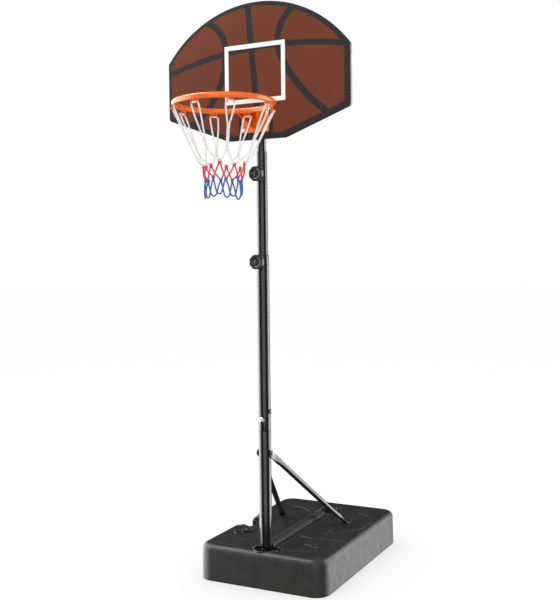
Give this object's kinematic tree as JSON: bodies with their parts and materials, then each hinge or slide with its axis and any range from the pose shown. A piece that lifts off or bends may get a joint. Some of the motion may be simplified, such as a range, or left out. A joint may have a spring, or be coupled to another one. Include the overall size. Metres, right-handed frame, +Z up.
{
  "type": "portable basketball hoop",
  "caption": "Free-standing basketball hoop with a rounded fan-shaped board, ring and cord net on a telescopic pole braced to a water-filled base with tilt wheels.",
  "frame": {"origin": "on the floor, on the axis of the pole", "axes": "+Z up along the pole, -Y the way the board and ring face, +Y towards the back of the base, +X to the right seen from the front"},
  "size_m": [0.7, 1.0942, 2.019],
  "materials": {
    "tank_plastic": "satin blow-moulded polyethylene with a fine leathery grain",
    "black_plastic": "satin moulded plastic",
    "wheel_plastic": "satin moulded plastic, scuffed tread",
    "pole_paint": "glossy black powder coat",
    "frame_paint": "semi-gloss black powder coat",
    "zinc_steel": "bright zinc plate",
    "insert_brass": "machined",
    "knob_plastic": "satin moulded plastic",
    "board_print": "satin printed polyethylene sheet",
    "ring_paint": "glossy orange powder coat",
    "net_cord": "twisted nylon cord"
  },
  "bodies": {
    "stand": {"base_tank": "tank_plastic", "fill_collar": "tank_plastic", "wheel_axle": "zinc_steel", "axle_spacer": "black_plastic", "base_tube": "frame_paint", "base_tube_cap": "black_plastic", "tube_clip": "black_plastic", "tube_insert": "zinc_steel", "foot_bolt": "pole_paint", "foot_pin": "pole_paint", "foot_plug": "black_plastic", "pole_foot": "pole_paint", "strut_left": "pole_paint", "strut_right": "pole_paint", "strut_bolt": "pole_paint", "strut_nut": "zinc_steel", "strut_washers": "pole_paint", "strut_foot_bolts": "pole_paint", "tank_inserts": "insert_brass", "pole_lower": "pole_paint", "neck_cross_bolt": "zinc_steel", "neck_cross_nut": "zinc_steel", "neck_front_bolt": "zinc_steel", "neck_front_nut": "zinc_steel", "lower_bush": "black_plastic", "lower_knob_boss": "pole_paint"},
    "cap": {"fill_cap": "tank_plastic"},
    "front_wheel": {"wheel_front": "wheel_plastic"},
    "rear_wheel": {"wheel_rear": "wheel_plastic"},
    "lower_knob": {"knob_lower": "knob_plastic", "knob_lower_screw": "zinc_steel"},
    "middle_mast": {"pole_middle": "pole_paint", "middle_glide": "black_plastic", "upper_bush": "black_plastic", "upper_knob_boss": "pole_paint"},
    "upper_knob": {"knob_upper": "knob_plastic", "knob_upper_screw": "zinc_steel"},
    "head": {"pole_upper": "pole_paint", "upper_glide": "black_plastic", "pole_top_cap": "black_plastic", "pole_clamps": "pole_paint", "clamp_bolts": "zinc_steel", "board_panel": "board_print", "board_frame_upper": "frame_paint", "board_frame_lower": "frame_paint", "frame_joiners": "frame_paint", "crossbar_upper": "frame_paint", "crossbar_lower": "frame_paint", "panel_screws": "zinc_steel", "ring_backplate": "frame_paint", "ring_bracket": "ring_paint", "bracket_bolts": "zinc_steel", "bracket_nuts": "zinc_steel", "ring_hoop": "ring_paint", "net_hooks": "ring_paint", "net": "net_cord"}
  },
  "joints": [
    {"name": "middle_tube_slide", "type": "slide", "parent": "stand", "child": "middle_mast", "axis": [0, 0, 1], "range_m": [-0.245, 0]},
    {"name": "upper_tube_slide", "type": "slide", "parent": "middle_mast", "child": "head", "axis": [0, 0, 1], "range_m": [-0.08, 0]},
    {"name": "lower_knob_turn", "type": "hinge", "parent": "stand", "child": "lower_knob", "pos_m": [0, -0.045, 1.1355], "axis": [0, -1, 0], "continuous": true},
    {"name": "upper_knob_turn", "type": "hinge", "parent": "middle_mast", "child": "upper_knob", "pos_m": [0, -0.042, 1.438], "axis": [0, -1, 0], "continuous": true},
    {"name": "front_wheel_spin", "type": "hinge", "parent": "stand", "child": "front_wheel", "pos_m": [-0.222, 0.23, 0.09], "axis": [0, 1, 0], "continuous": true},
    {"name": "rear_wheel_spin", "type": "hinge", "parent": "stand", "child": "rear_wheel", "pos_m": [-0.222, 0.378, 0.09], "axis": [0, 1, 0], "continuous": true},
    {"name": "cap_hinge", "type": "hinge", "parent": "stand", "child": "cap", "pos_m": [-0.16373, 0.13515, 0.1353], "axis": [-0.7771, 0.6293, 0], "range_deg": [-190, 0]}
  ]
}
